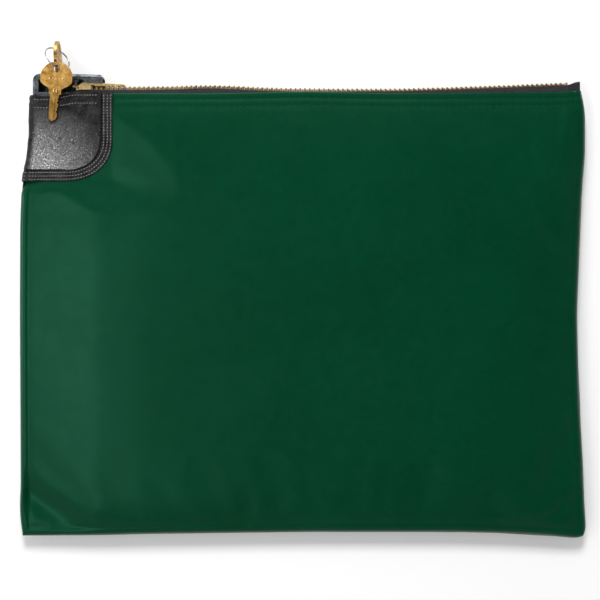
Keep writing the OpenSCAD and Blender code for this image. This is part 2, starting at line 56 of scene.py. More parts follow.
def span(node):
    """A CAD node's lowest and highest corners, in millimetres."""
    low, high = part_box(node)
    return np.array(low) / MM, np.array(high) / MM


# ---- places read from the frame, in millimetres ----
panel_low, panel_high = span("front_panel")
leather_low, leather_high = span("leather_corner")
case_low, case_high = span("lock_case")
stop_low, stop_high = span("zipper_end_stop")
teeth_low, teeth_high = span("zipper_teeth_front")
tape_low, tape_high = span("zipper_tape_front")
MID_Z = (case_low[2] + case_high[2]) / 2
MOUTH_Y = panel_high[1]
FULLNESS = panel_high[2] - MID_Z
SPARE_HEADING = -5.4    # degrees that the spare key's blade points left of straight down
SPARE_HOLE_X = -160.12
KEY_TOP_TO_HOLE = 4.4


# ---- small tools ----
def clamp(v):
    return np.clip(v, 0.0, 1.0)


def smooth(t):
    t = clamp(t)
    return t * t * (3 - 2 * t)


def swell(t):
    """A quarter ellipse: steep at 0, level at 1."""
    return np.sqrt(1 - (1 - clamp(t)) ** 2)


def plump(t):
    """Steep at 0 and level at 1, with no line where it levels off."""
    return (1 - (1 - clamp(t)) ** 2.8) ** 0.55


def eased(points, blur=9.0):
    """A smooth curve through a short list of (place, value) points, as a function."""
    places, values = np.array(points, float).T
    step = 1.0
    fine = np.arange(places[0] - 40, places[-1] + 40, step)
    height = np.interp(fine, places, values)
    kernel = np.exp(-0.5 * (np.arange(-3 * blur, 3 * blur + step, step) / blur) ** 2)
    padded = np.pad(height, len(kernel) // 2, mode="edge")
    height = np.convolve(padded, kernel / kernel.sum(), mode="valid")
    return lambda v: np.interp(v, fine, height)


def new_object(name, vertices, faces):
    """A smooth-shaded mesh object from points in millimetres."""
    mesh = bpy.data.meshes.new(name)
    mesh.from_pydata((np.asarray(vertices, float) * MM).tolist(), [], faces)
    mesh.polygons.foreach_set("use_smooth", [True] * len(mesh.polygons))
    mesh.update()
    obj = bpy.data.objects.new(name, mesh)
    bpy.context.scene.collection.objects.link(obj)
    return obj


def grid_faces(rows, cols, wrap=False, flip=False):
    faces = []
    for j in range(rows - 1):
        for i in range(cols if wrap else cols - 1):
            n = (i + 1) % cols
            face = [j * cols + i, j * cols + n, (j + 1) * cols + n, (j + 1) * cols + i]
            faces.append(face[::-1] if flip else face)
    return faces


def grid_object(name, grid, flip=False):
    rows, cols = grid.shape[:2]
    return new_object(name, grid.reshape(-1, 3), grid_faces(rows, cols, flip=flip))


def modifier(obj, kind, **settings):
    made = obj.modifiers.new(kind.lower(), kind)
    for key, value in settings.items():
        setattr(made, key, value)
    return made


def finish_piece(obj, body, material, stands_for=()):
    obj.data.materials.append(material)
    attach(obj, body)
    if stands_for:
        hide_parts(*stands_for)
    return obj


# ---- camera, floor and light ----
DOME_LEVEL = 0.54
DOME_TOP = 0.12


def make_stage():
    camera = bpy.data.objects.new("camera", bpy.data.cameras.new("camera"))
    bpy.context.scene.collection.objects.link(camera)
    camera.location = (-0.0026, 0.0092, 0.926)
    camera.data.lens = 83.56
    camera.data.clip_start = 0.05
    bpy.context.scene.camera = camera

    size = 3.0
    floor = new_object("floor", [(-size / MM, -size / MM, 0), (size / MM, -size / MM, 0),
                                 (size / MM, size / MM, 0), (-size / MM, size / MM, 0)], [[0, 1, 2, 3]])
    floor.data.materials.append(floor_material())

    make_dome()
    bpy.context.scene.view_settings.view_transform = "Standard"
    softbox("key_light", (-0.05, 0.92, 1.2), 0.42, 18.5, mirrored=False)
    softbox("side_light", (-0.6, 0.05, 1.15), 0.44, 2.2)
    softbox("low_side_light", (-0.5, -0.42, 1.15), 0.4, 1.8)
    softbox("edge_light", (-0.15, 1.2, 0.6), 0.4, 9.0, lit=False)
    softbox("left_edge_light", (-1.25, 0.1, 0.5), 0.35, 6.0, lit=False)


def make_dome():
    """A white tent that is dim straight overhead, bright halfway down, and brighter on the left."""
    world = bpy.data.worlds.new("studio")
    bpy.context.scene.world = world
    world.use_nodes = True
    tree = world.node_tree
    way = tree.nodes.new("ShaderNodeTexCoord")
    parts = tree.nodes.new("ShaderNodeSeparateXYZ")
    tree.links.new(way.outputs["Generated"], parts.inputs[0])
    height = tree.nodes.new("ShaderNodeValToRGB")
    tree.links.new(parts.outputs[2], height.inputs[0])
    stops = ((0.0, 0.55), (0.3, 1.0), (0.64, 1.15), (0.92, DOME_TOP))
    elements = height.color_ramp.elements
    while len(elements) < len(stops):
        elements.new(0.5)
    for element, (position, grey) in zip(elements, stops):
        element.position = position
        element.color = (grey, grey, grey, 1.0)
    left = tree.nodes.new("ShaderNodeMath")
    left.operation = "MULTIPLY_ADD"
    left.inputs[1].default_value = -0.45 * DOME_LEVEL
    left.inputs[2].default_value = DOME_LEVEL
    tree.links.new(parts.outputs[0], left.inputs[0])
    background = tree.nodes["Background"]
    tree.links.new(height.outputs["Color"], background.inputs["Color"])
    tree.links.new(left.outputs[0], background.inputs["Strength"])


def softbox(name, place, width, power, lit=True, mirrored=True):
    """A square soft light that faces the bag's middle. It may light surfaces, be mirrored in them, or both."""
    lamp = bpy.data.objects.new(name, bpy.data.lights.new(name, "AREA"))
    bpy.context.scene.collection.objects.link(lamp)
    lamp.data.size = width
    lamp.data.energy = power
    lamp.location = place
    lamp.rotation_mode = "QUATERNION"
    lamp.rotation_quaternion = (-Vector(place)).to_track_quat("-Z", "Y")
    lamp.visible_diffuse = lit
    lamp.visible_glossy = mirrored


# ---- materials ----
class Finish:
    """A node material under construction. Sizes are in millimetres on the object."""

    def __init__(self, name, color, metallic=0.0, roughness=0.5, **sockets):
        self.material = bpy.data.materials.new(name)
        self.material.use_nodes = True
        self.tree = self.material.node_tree
        self.shader = self.tree.nodes["Principled BSDF"]
        self.place = self.tree.nodes.new("ShaderNodeTexCoord").outputs["Object"]
        self.set("Base Color", (*color, 1.0))
        self.set("Metallic", metallic)
        self.set("Roughness", roughness)
        for key, value in sockets.items():
            self.set(key.replace("_", " "), value)
        self.normal = None

    def set(self, socket, value):
        if isinstance(value, bpy.types.NodeSocket):
            self.tree.links.new(value, self.shader.inputs[socket])
        else:
            self.shader.inputs[socket].default_value = value

    def node(self, kind, out=0, props=(), **inputs):
        made = self.tree.nodes.new("ShaderNode" + kind)
        for key, value in dict(props).items():
            setattr(made, key, value)
        for key, value in inputs.items():
            socket = made.inputs[int(key[1:])] if key[0] == "_" else made.inputs[key.replace("_", " ")]
            if isinstance(value, bpy.types.NodeSocket):
                self.tree.links.new(value, socket)
            else:
                socket.default_value = value
        return made.outputs[out]

    def math(self, operation, a, b=0.0, c=0.5):
        return self.node("Math", props={"operation": operation}, _0=a, _1=b, _2=c)

    def axes(self):
        """The three parts of the place on the object, in metres."""
        made = self.tree.nodes.new("ShaderNodeSeparateXYZ")
        self.tree.links.new(self.place, made.inputs[0])
        return made.outputs

    def noise(self, size, detail=3.0, roughness=0.5, distortion=0.0, vector=None):
        return self.node("TexNoise", Vector=vector or self.place, Scale=1 / (size * MM), Detail=detail,
                         Roughness=roughness, Distortion=distortion)

    def ramp(self, value, *stops):
        """Stops are (position, grey or colour)."""
        made = self.tree.nodes.new("ShaderNodeValToRGB")
        self.tree.links.new(value, made.inputs[0])
        elements = made.color_ramp.elements
        while len(elements) < len(stops):
            elements.new(0.5)
        for element, (position, color) in zip(elements, stops):
            element.position = position
            element.color = (*color, 1.0) if isinstance(color, tuple) else (color, color, color, 1.0)
        return made.outputs["Color"]

    def mix(self, factor, a, b, blend="MIX"):
        made = self.tree.nodes.new("ShaderNodeMix")
        made.data_type = "RGBA"
        made.blend_type = blend
        for socket, value in ((0, factor), (6, a), (7, b)):
            if isinstance(value, bpy.types.NodeSocket):
                self.tree.links.new(value, made.inputs[socket])
            else:
                made.inputs[socket].default_value = (*value, 1.0) if isinstance(value, tuple) else value
        return made.outputs[2]

    def bump(self, height, depth, strength=1.0):
        """Adds relief, depth in millimetres, on top of what is there."""
        made = self.tree.nodes.new("ShaderNodeBump")
        made.inputs["Strength"].default_value = strength
        made.inputs["Distance"].default_value = depth * MM
        self.tree.links.new(height, made.inputs["Height"])
        if self.normal:
            self.tree.links.new(self.normal, made.inputs["Normal"])
        self.normal = made.outputs["Normal"]
        self.set("Normal", self.normal)

    def weave(self, pitch):
        """Plain weave height: threads along X and Y that pass over and under each other."""
        parts = self.axes()
        turn = math.pi / (pitch * MM)
        across = self.math("SINE", self.math("MULTIPLY", parts[0], turn))
        along = self.math("SINE", self.math("MULTIPLY", parts[1], turn))
        crossing = self.math("MULTIPLY", across, along)
        return self.math("MULTIPLY_ADD", crossing, 0.5)


def floor_material():
    made = Finish("floor_paper", (0.82, 0.82, 0.82), roughness=0.9, Specular_IOR_Level=0.1,
                  Emission_Color=(1.0, 1.0, 1.0, 1.0), Emission_Strength=0.12)
    made.bump(made.noise(1.2), 0.01, 0.2)
    return made.material


def cloth_material():
    made = Finish("laminated_cloth", (0.0005, 0.043, 0.018), roughness=0.4, Specular_IOR_Level=0.26,
                  Specular_Tint=(0.3, 1.0, 0.66, 1.0))
    broad = made.ramp(made.noise(70, 2.0), (0.3, (0.0003, 0.0345, 0.0132)), (0.7, (0.0005, 0.0405, 0.0170)))
    mottle = made.ramp(made.noise(4.0, 4.0), (0.3, 0.92), (0.7, 1.07))
    weave = made.weave(0.62)
    shade = made.ramp(weave, (0.0, 0.86), (1.0, 1.06))
    made.set("Base Color", made.mix(1.0, made.mix(1.0, broad, mottle, "MULTIPLY"), shade, "MULTIPLY"))
    made.set("Roughness", made.ramp(made.noise(9.0, 3.0), (0.3, 0.31), (0.7, 0.38)))
    made.bump(made.noise(7.0, 3.0), 0.12, 0.5)
    made.bump(weave, 0.04, 0.4)
    made.bump(made.noise(2.4, 4.0), 0.04, 0.35)
    return made.material


def thread_material(name, dark, light):
    made = Finish(name, dark, roughness=0.6, Specular_IOR_Level=0.2)
    ply = made.node("TexWave", 1, props={"bands_direction": "DIAGONAL"}, Vector=made.place, Scale=900.0,
                    Distortion=1.0, Detail=1.0)
    made.set("Base Color", made.mix(ply, dark, light))
    made.bump(ply, 0.04, 0.6)
    return made.material


def leather_material():
    """Grained leather, with a painted sheen towards the patch's lower left that stops at its sewn border, and painted
    shade in the groove inside the border.
    """
    dark, mid, sheen_tone = (0.005, 0.005, 0.006), (0.032, 0.032, 0.033), (0.29, 0.29, 0.29)
    made = Finish("grained_leather", dark, roughness=0.36, Specular_IOR_Level=0.26)
    depth = made.node("Attribute", 2, props={"attribute_name": "sewn_depth"})
    from_left = made.node("Attribute", 2, props={"attribute_name": "left_depth"})
    warp = made.mix(0.12, made.place, made.node("TexNoise", 1, Vector=made.place, Scale=160.0, Detail=2.0))
    cells = made.node("TexVoronoi", props={"feature": "DISTANCE_TO_EDGE"}, Vector=warp, Scale=620.0)
    pebble = made.ramp(cells, (0.0, 0.0), (0.16, 0.7), (0.5, 1.0))
    slanted = made.node("Mapping", Vector=warp, Rotation=(0.0, 0.0, 0.6), Scale=(1.0, 0.35, 1.0))
    long_cells = made.node("TexVoronoi", props={"feature": "DISTANCE_TO_EDGE"}, Vector=slanted, Scale=190.0)
    wrinkle = made.ramp(long_cells, (0.0, 0.0), (0.06, 0.7), (0.25, 1.0))
    parts = made.axes()
    # painted sheen: the base colour grows paler towards the patch's lower left, kept inside the sewn border and off the
    # left fold
    leftness = made.math("MULTIPLY_ADD", parts[0], -19.6, -2.45)
    lowness = made.math("MULTIPLY_ADD", parts[1], -26.3, 3.68)
    painted_sheen = made.ramp(made.math("MULTIPLY", leftness, lowness), (0.10, 0.0), (0.92, 1.0))
    field = made.math("MULTIPLY", made.ramp(depth, (0.24, 0.0), (0.27, 1.0)),
                      made.ramp(from_left, (0.1, 0.0), (0.2, 1.0)))
    painted_sheen = made.math("MULTIPLY", painted_sheen, field)
    # crackled grain slanting one way, and finer streaks slanting the other way
    lines = made.node("Mapping", Vector=warp, Rotation=(0.0, 0.0, 0.7), Scale=(1.0, 0.3, 1.0))
    edges = made.node("TexVoronoi", props={"feature": "DISTANCE_TO_EDGE"}, Vector=lines, Scale=290.0)
    crackle = made.ramp(edges, (0.0, 3.1), (0.15, 1.7), (0.3, 0.6), (0.6, 0.32))
    lines = made.node("Mapping", Vector=warp, Rotation=(0.0, 0.0, -0.35), Scale=(1.0, 0.4, 1.0))
    streaks = made.ramp(made.noise(2.0, 3.0, 0.65, vector=lines), (0.42, 0.0), (0.58, 2.4))
    grain = made.mix(1.0, crackle, streaks, "MULTIPLY")
    laid = made.node("Mapping", Vector=warp, Rotation=(0.0, 0.0, 0.85), Scale=(1.0, 0.28, 1.0))
    folds = made.node("TexVoronoi", props={"feature": "DISTANCE_TO_EDGE"}, Vector=laid, Scale=75.0)
    fold_line = made.ramp(folds, (0.0, 2.6), (0.018, 1.6), (0.05, 0.85), (0.12, 1.0))
    # the painted sheen lifts the tone towards a pale grey
    tone = made.mix(painted_sheen, made.mix(made.ramp(made.noise(8.0, 5.0, 0.65), (0.35, 0.0), (0.65, 1.0)), dark, mid),
                    sheen_tone)
    tone = made.mix(1.0, tone, grain, "MULTIPLY")
    tone = made.mix(1.0, tone, fold_line, "MULTIPLY")
    tone = made.mix(1.0, tone, made.ramp(pebble, (0.0, 0.15), (1.0, 1.3)), "MULTIPLY")
    tone = made.mix(1.0, tone, made.ramp(wrinkle, (0.0, 1.9), (0.5, 1.0)), "MULTIPLY")
    # painted shade in the groove round the inside of the sewn border
    groove_shade = made.ramp(depth, (0.215, 1.0), (0.235, 0.05), (0.25, 0.05), (0.275, 1.0))
    made.set("Base Color", made.mix(1.0, tone, groove_shade, "MULTIPLY"))
    made.set("Roughness", made.ramp(made.noise(5.0, 4.0), (0.3, 0.28), (0.7, 0.42)))
    made.bump(wrinkle, 0.35, 0.9)
    made.bump(pebble, 0.2, 0.9)
    made.bump(grain, 0.08, 0.9)
    made.bump(made.noise(1.4, 4.0, 0.6), 0.3, 0.8)
    return made.material


def tape_material(name="woven_tape", color=(0.010, 0.010, 0.011)):
    made = Finish(name, color, roughness=0.7, Specular_IOR_Level=0.3, Sheen_Weight=0.04, Sheen_Roughness=0.4)
    weave = made.weave(0.5)
    light = tuple(c * 5.0 for c in color)
    fleck = made.math("MULTIPLY", weave, made.ramp(made.noise(1.1, 3.0, 0.6), (0.35, 0.1), (0.65, 1.0)))
    made.set("Base Color", made.mix(fleck, color, light))
    made.bump(weave, 0.10, 0.8)
    made.bump(made.noise(1.2, 3.0), 0.08, 0.5)
    return made.material


def metal_material(name, dark, light, rough, grain=0.8, pits=0.03, patch=6.0):
    """A metal whose tone and gloss drift, with fine grain and a few pits."""
    made = Finish(name, light, metallic=1.0, roughness=sum(rough) / 2)
    drift = made.noise(patch, 5.0, 0.6, 0.4)
    made.set("Base Color", made.ramp(drift, (0.32, dark), (0.66, light)))
    made.set("Roughness", made.ramp(made.noise(patch / 3, 4.0), (0.3, rough[0]), (0.7, rough[1])))
    made.bump(made.noise(grain, 4.0, 0.6), pits, 0.6)
    return made.material


def case_material():
    made = Finish("cast_nickel", (0.3, 0.33, 0.36), metallic=1.0, roughness=0.36)
    drift = made.noise(5.0, 4.0, 0.55)
    speckle = made.ramp(made.noise(1.0, 4.0, 0.7), (0.40, 0.3), (0.58, 1.5))
    tone = made.ramp(drift, (0.3, (0.06, 0.068, 0.076)), (0.7, (0.18, 0.195, 0.21)))
    made.set("Base Color", made.mix(1.0, tone, speckle, "MULTIPLY"))
    made.set("Roughness", made.ramp(drift, (0.3, 0.5), (0.7, 0.36)))
    made.bump(made.noise(0.9, 4.0, 0.65), 0.12, 0.8)
    return made.material


def key_material():
    """Tumbled brass, darker lower down the bag, so the spare key's blade darkens towards its tip."""
    made = Finish("key_brass", (0.5, 0.3, 0.085), metallic=1.0, roughness=0.4)
    drift = made.noise(3.5, 5.0, 0.65, 0.5)
    tone = made.ramp(drift, (0.36, (0.25, 0.11, 0.018)), (0.62, (0.53, 0.325, 0.095)))
    blade = made.ramp(made.math("MULTIPLY_ADD", made.axes()[1], 60.0, -8.2), (0.0, 0.5), (1.0, 1.0))
    made.set("Base Color", made.mix(1.0, tone, blade, "MULTIPLY"))
    made.set("Roughness", made.ramp(made.noise(1.2, 4.0), (0.3, 0.32), (0.7, 0.46)))
    made.bump(made.noise(0.6, 4.0, 0.6), 0.10, 0.6)
    return made.material


MATERIALS = {
    "cloth": cloth_material(),
    "binding": tape_material("seam_binding", (0.009, 0.010, 0.010)),
    "leather": leather_material(),
    "zipper_tape": tape_material(),
    "zipper_brass": metal_material("zipper_brass", (0.56, 0.38, 0.15), (0.86, 0.66, 0.34), (0.36, 0.48), grain=0.5, pits=0.012,
                                   patch=3.0),
    "teeth_brass": metal_material("teeth_brass", (0.30, 0.17, 0.06), (0.60, 0.42, 0.18), (0.3, 0.42), grain=0.5,
                                  pits=0.01, patch=3.0),
    "case_metal": case_material(),
    "steel": metal_material("steel", (0.42, 0.43, 0.45), (0.62, 0.63, 0.65), (0.25, 0.4), grain=0.4, pits=0.01),
    "lock_brass": metal_material("lock_brass", (0.5, 0.33, 0.11), (0.8, 0.58, 0.25), (0.22, 0.36)),
    "key_brass": key_material(),
    "key_mark_brass": metal_material("key_mark_brass", (0.72, 0.48, 0.16), (0.95, 0.74, 0.36), (0.3, 0.4)),
    "ring_wire": metal_material("nickel_wire", (0.22, 0.22, 0.21), (0.50, 0.50, 0.48), (0.16, 0.28), grain=0.5,
                                pits=0.008),
    "green_thread": thread_material("green_thread", (0.001, 0.040, 0.019), (0.003, 0.075, 0.038)),
    "pale_thread": thread_material("pale_thread", (0.14, 0.135, 0.135), (0.50, 0.48, 0.48)),
}

# ---- the bag's outline, (place along the edge, place of the edge) ----
left_x = eased([(-145, -184.8), (-135, -186.2), (-125, -186.7), (-112, -186.0), (0, -186.6), (60, -186.4),
                (85, -185.4), (101, -184.0), (112, -182.2), (121, -181.1), (133, -181.5), (146, -180.6)], 3.0)
right_x = eased([(-146, 184.6), (-140, 185.4), (-125, 184.2), (-96, 183.2), (-76, 182.0), (-56, 180.8),
                 (-27, 180.0), (0, 179.4), (42, 181.0), (72, 182.2), (91, 183.4), (104, 184.7), (130, 184.7),
                 (138, 184.0), (146, 181.6)], 4.0)
bottom_y = eased([(-186, -145.6), (-134, -145.3), (-101, -144.5), (-50, -143.8), (0, -143.2), (96, -143.2),
                  (129, -143.9), (155, -145.1), (170, -146.4), (178, -147.4), (186, -147.0)], 5.0)
# How far the cloth's mouth edge, the chain of teeth and the tape's end rise above their straight lines
mouth_wave = eased([(-187, -3.9), (-164, -3.9), (-150, -1.4), (-126, -0.7), (-60, -0.7), (0, 0.6), (35, -0.2), (63, -0.6), (96, -0.6),
                    (129, -0.3), (155, -0.1), (171, 0.1), (178, 1.0), (186, 1.7)], 6.0)
chain_wave = eased([(-152, 0), (-108, 0), (-92, 0.1), (-82, 0.3), (-72, 0.8), (-60, 1.1), (-46, 0.6),
                    (-29, -0.3), (-14, -0.9), (20, -1.2), (60, -1.4), (89, -0.7), (110, 0.0), (129, 0.7),
                    (155, 1.9), (172, 2.6), (182, 2.8)], 4.0)
# How far the mouth leans towards the front
mouth_lean = eased([(-152, 0), (-125, 0), (-85, 0.8), (-35, -0.5), (20, -0.9), (75, 0.5), (120, 0.9),
                    (148, 0), (186, 0)], 9.0)


def tape_rise(x):
    """How far the tape's edge stands above its straight place, along with the chain."""
    return chain_wave(x) + 0.5 * smooth((x + 20) / 95) + 2.3 * smooth((x - stop_high[0] + 0.8) / 8.0)


# ---- the cloth panels ----
SEAM_H = 1.35
MOUTH_H = 4.25
CORNER_H = 6.55
left_rise = eased([(0, 0.25), (4, 0.32), (60, 0.93), (95, 1), (150, 1)], 4.0)    # along a hundredth of the run
PATCH_RIGHT = leather_high[0] + 1.2
PATCH_BOTTOM = leather_low[1]
PATCH_TOP = leather_high[1]
CORNER_W = 31.0
CORNER_TALL = 27.0
LEATHER_T = 0.9
CLOTH_T = 0.5


def cloth_left(y):
    """The cloth's left edge: it draws in under the leather."""
    under = PATCH_BOTTOM
    return left_x(y) + 1.1 * smooth((y - under + 8) / 7) + 1.2 * smooth((y - under - 3) / 14)


def leather_left(y):
    """The leather's outer left edge, seen from the front."""
    return left_x(y) + 1.2 * smooth((y - PATCH_BOTTOM - 1) / 14)


def sunk(x, y):
    """How far the patch's lower left part lies below its flat plane, clear of the lock."""
    return 1.9 * smooth((-148 - x) / 30) * smooth((118 - y) / 18)


def mouth_y(x):
    return MOUTH_Y + mouth_wave(x)


def outer_h(x, y):
    """How far a panel's outer face stands from the middle plane: the CAD's rule, gentler beside the patch."""
    right_run = 42 - 34 * smooth((y - 90) / 50)
    left_run = 84 - 74 * smooth((y - 60) / 70)
    rise = MOUTH_H + (FULLNESS - MOUTH_H) * (1 - (1 - clamp((mouth_y(x) - y) / 72)) ** 2)
    in_left = x - cloth_left(y)
    side = np.minimum(left_rise(100 * in_left / left_run) * swell(in_left / 3.5), plump((right_x(y) - x) / right_run))
    pillow = SEAM_H + (rise - SEAM_H) * side * plump((y - bottom_y(x)) / 42)
    off_corner = np.hypot(0.5 * np.maximum(0, x - PATCH_RIGHT - 0.6), np.maximum(0, PATCH_BOTTOM - 0.6 - y))
    held_open = smooth((y - 92) / 24) * (1 - smooth((x - case_high[0] - 0.8) / 12))
    return np.minimum(np.maximum(pillow, CORNER_H * held_open), CORNER_H + 0.2 * off_corner)


def fold(x, y, centre, heading, length, width, height):
    """A long soft ridge, or a valley where height is negative."""
    c, s = math.cos(math.radians(heading)), math.sin(math.radians(heading))
    along = ((x - centre[0]) * c + (y - centre[1]) * s) / length
    across = (-(x - centre[0]) * s + (y - centre[1]) * c) / width
    return height * np.exp(-along ** 2 - across ** 2)


FRONT_FOLDS = [
    ((-169, -125), -31, 25, 8, -4.4), ((-180, -108), -64, 14, 5, -0.9),
    ((-147, -104), -50, 32, 11, 0.6),
    ((171, 121), 86, 18, 2.6, 0.55), ((165, 118), 84, 20, 3.0, -0.4), ((166, 62), 100, 42, 8, 0.7),
    ((150, 78), 118, 46, 9, -0.5), ((-38, -131), 70, 10, 6, -0.5), ((-30, -128), 75, 9, 5, 0.35),
    ((60, -127), 95, 12, 9, 0.35), ((-3, 124), 92, 11, 7, 0.35), ((108, 122), 80, 16, 10, -0.35),
    ((-112, 92), -32, 22, 10, 0.45), ((168, -126), 38, 20, 6, -0.9), ((176, -112), 60, 16, 5, 0.4),
    ((-60, 112), 10, 30, 12, -0.3),
]
BACK_FOLDS = [
    ((160, -120), 42, 26, 7, -1.2), ((-160, -116), -45, 26, 7, -1.4), ((-171, 20), 92, 40, 5, 0.5),
    ((172, 60), 88, 44, 5, 0.6), ((-60, -130), 20, 30, 6, 0.5), ((70, -131), -15, 32, 6, 0.5),
    ((30, 118), 8, 40, 8, -0.6), ((110, 122), 165, 34, 7, 0.5), ((-70, 124), 172, 36, 7, 0.4),
]


def seam_detail(depth):
    """The turned seam: rounded edge, the raised allowance inside it, and the dip beyond."""
    edge = SEAM_H * (swell(depth / 1.5) - 1)
    allowance = 0.42 * smooth((depth - 0.8) / 1.2) * (1 - smooth((depth - 4.2) / 1.4))
    return edge + allowance - 0.30 * np.exp(-((depth - 6.6) / 1.3) ** 2)


def line_places(length, edge_steps, spacing):
    """Places along a length, close together at both ends, as shares of it."""
    near = np.cumsum(edge_steps)
    count = max(2, round((length - 2 * near[-1]) / spacing))
    middle = np.linspace(near[-1], length - near[-1], count + 1)
    places = np.concatenate([[0], near[:-1], middle, (length - near[:-1])[::-1], [length]])
    return places / length


EDGE_STEPS = [0.25, 0.3, 0.4, 0.5, 0.6, 0.7, 0.8, 0.8, 0.9, 1.0, 1.3, 1.7, 2.2, 2.6]


def panel_xy(shares_x, shares_y):
    """Plan positions of a grid laid over the bag's outline, and how far the blunt corner pulls each in."""
    s, t = np.meshgrid(shares_x, shares_y)
    x_guess = -186 + s * 371
    y = bottom_y(x_guess) + t * (mouth_y(x_guess) - bottom_y(x_guess))
    x = cloth_left(y) + s * (right_x(y) - cloth_left(y))
    # the lower right corner is blunt
    reach = np.hypot((1 - s) * 371, t * 291)
    pull = 1.6 * np.maximum(0, 1 - reach / 9) ** 2
    return x - pull, y + pull, pull


def settle(x, y, z, side, excess, pressure, most):
    """Cloth simulation of one panel: how far each grid point moves, in millimetres, at most most."""
    rows, cols = x.shape
    grid = np.stack([x, y, z], -1)
    obj = grid_object("settling", grid, flip=side < 0)
    depth = np.minimum.reduce([x - cloth_left(y), right_x(y) - x, y - bottom_y(x)])
    held = (depth < 4) | (y > MOUTH_Y - 16) | ((x < PATCH_RIGHT + 5) & (y > PATCH_BOTTOM - 4))
    pins = obj.vertex_groups.new(name="pins")
    pins.add(np.flatnonzero(held.ravel()).tolist(), 1.0, "REPLACE")
    cloth = modifier(obj, "CLOTH")
    values = cloth.settings
    values.quality = 7
    values.mass = 0.2
    values.tension_stiffness = 18
    values.compression_stiffness = 18
    values.shear_stiffness = 6
    values.bending_stiffness = 1.2
    values.use_pressure = True
    values.uniform_pressure_force = pressure
    values.vertex_group_mass = pins.name
    values.shrink_min = -excess
    values.effector_weights.gravity = 0
    cloth.collision_settings.use_collision = False
    scene = bpy.context.scene
    for number in range(1, 21):
        scene.frame_set(number)
    graph = bpy.context.evaluated_depsgraph_get()
    settled = obj.evaluated_get(graph).data
    moved = np.zeros(rows * cols * 3)
    settled.vertices.foreach_get("co", moved)
    moved = moved.reshape(rows, cols, 3) / MM - grid
    bpy.data.objects.remove(obj)
    scene.frame_set(1)
    size = np.linalg.norm(moved, axis=-1, keepdims=True)
    return moved * np.minimum(1, most / np.maximum(size, 1e-6))


def sampled(field, s, t):
    """A grid field of the simulation read at shares s, t, bilinearly."""
    rows, cols = field.shape[:2]
    i, j = s * (cols - 1), t * (rows - 1)
    i0, j0 = np.minimum(i.astype(int), cols - 2), np.minimum(j.astype(int), rows - 2)
    u, v = (i - i0)[..., None], (j - j0)[..., None]
    low = field[j0, i0] * (1 - u) + field[j0, i0 + 1] * u
    high = field[j0 + 1, i0] * (1 - u) + field[j0 + 1, i0 + 1] * u
    return low * (1 - v) + high * v


def make_panel(name, side, folds, node):
    """One cloth panel: side 1 is the front, side -1 the back."""
    settled = None
    shares_x, shares_y = np.linspace(0, 1, 96), np.linspace(0, 1, 76)
    x, y, _ = panel_xy(shares_x, shares_y)
    h = outer_h(x, y) * 0.97
    settled = settle(x, y, MID_Z + side * h, side, excess=0.007, pressure=1.6, most=3.2)
    shares_x = line_places(370, EDGE_STEPS, 3.0)
    shares_y = line_places(290, EDGE_STEPS, 3.0)
    x, y, pull = panel_xy(shares_x, shares_y)
    depth = np.minimum.reduce([x - cloth_left(y), right_x(y) - x, y - bottom_y(x)])
    depth = np.maximum(depth - pull, 0)
    covered = smooth((PATCH_RIGHT + 3 - x) / 3) * smooth((y - PATCH_BOTTOM + 7) / 7)
    loose = smooth((depth - 3) / 6) * (1 - covered)
    h = outer_h(x, y) + seam_detail(depth) * (1 - covered)
    for centre, heading, length, width, height in folds:
        h = h + fold(x, y, centre, heading, length, width, height) * smooth((depth - 2) / 4) * (1 - covered)
    h = h - sunk(x, y) * covered
    # under the leather the cloth rounds the bag's left edge inside the leather's fold
    h = h - 2.9 * (1 - swell((x - cloth_left(y)) / 2.9)) * covered
    # the hem: cloth turned under at the mouth, held down by two rows of stitches
    down = mouth_y(x) - y
    for row in STITCH_ROWS:
        h = h - 0.22 * np.exp(-((down - row) / 0.9) ** 2) * (1 - covered)
    h = h + 0.12 * smooth((8 - down) / 8) * (1 - covered)
    h = h - 0.55 * (1 - swell(down / 0.7))
    lean = mouth_lean(x) * smooth((y - 70) / 72)
    if side < 0:
        h = np.minimum(h, FULLNESS - 0.02)
    z = MID_Z + side * h + lean * (1 - covered)
    grid = np.stack([x, y, z], -1)
    if settled is not None:
        s, t = np.meshgrid(shares_x, shares_y)
        loose = loose * (1 - 0.8 * smooth((y - 40) / 60)) * (0.2 + 0.55 * smooth((x - 10) / 120))
        grid = grid + sampled(settled, s, t) * loose[..., None]
    if side < 0:
        grid[..., 2] = np.maximum(grid[..., 2], 0.05)
    obj = grid_object(name, grid, flip=side < 0)
    modifier(obj, "SOLIDIFY", thickness=CLOTH_T * MM, offset=-1.0)
    modifier(obj, "SUBSURF", levels=1, render_levels=1)
    finish_piece(obj, "bag", MATERIALS["cloth"], [node])
    return obj


STITCH_ROWS = (4.3, 9.5)

front = make_panel("front_cloth_panel", 1, FRONT_FOLDS, "front_panel")
back = make_panel("back_cloth_panel", -1, BACK_FOLDS, "back_panel")


# ---- leather corner ----
FOLD_R = 3.6
BORDER_ROWS = (1.2, 3.4, 5.7)
BORDER_W = 7.2
TOP_ROWS = (2.3, 7.6)
# The patch's top edge dips in front of the lock's post
patch_roof = eased([(-187, 143.2), (-181, 143.0), (-175, 142.1), (-166, 142.1), (-158, 143.5), (-150, 145.1),
                    (-120, 145.1)], 1.6)


def patch_floor(x):
    """Lower edge of the patch at a place across it, with its round corner."""
    over = np.maximum(0, x - (PATCH_RIGHT - CORNER_W)) / CORNER_W
    return PATCH_BOTTOM + CORNER_TALL * (1 - np.sqrt(np.maximum(1 - over ** 2.2, 0)))


